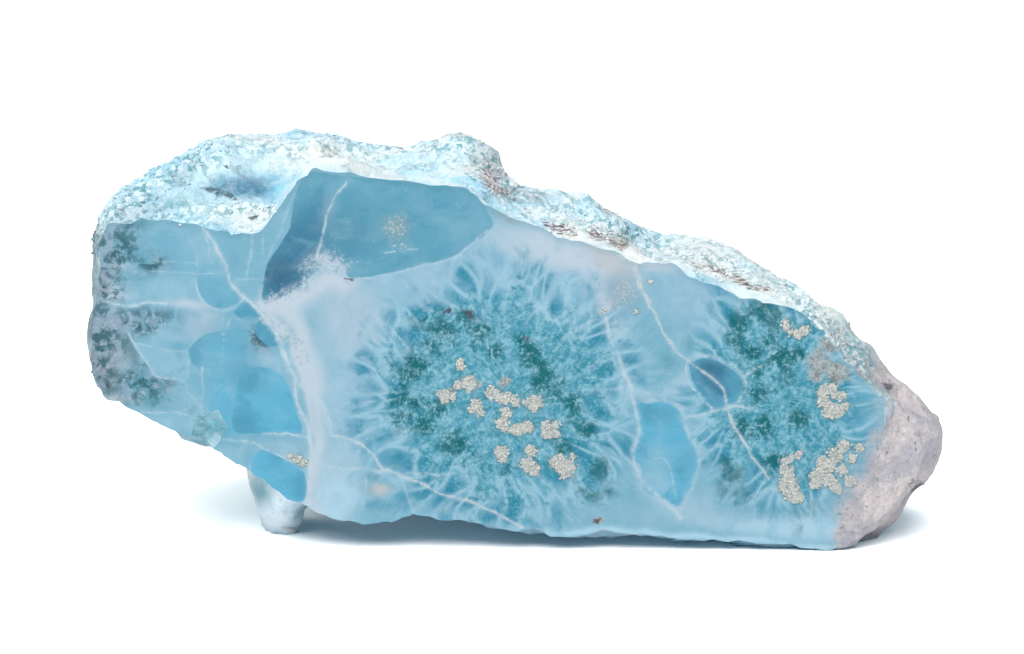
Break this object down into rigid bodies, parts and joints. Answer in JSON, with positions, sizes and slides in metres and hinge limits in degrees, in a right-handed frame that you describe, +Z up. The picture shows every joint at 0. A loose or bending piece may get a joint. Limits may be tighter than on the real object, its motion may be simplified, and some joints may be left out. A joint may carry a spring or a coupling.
{
  "type": "rough mineral specimen",
  "caption": "Rough larimar: a broken lump of blue pectolite with one flat sawn face, a rugged skin and a knob of pale matrix at one end, resting on flat spots underneath.",
  "frame": {"origin": "bottom centre of the stone's bounding box, on the plane it rests on", "axes": "+Z up, X along the stone's length with the knob of matrix at +X, the sawn face looks along -Y"},
  "size_m": [0.0874, 0.0344, 0.0406],
  "materials": {
    "larimar": "sawn face matt, broken skin rough"
  },
  "bodies": {
    "root": {"larimar_stone": "larimar"}
  },
  "joints": []
}
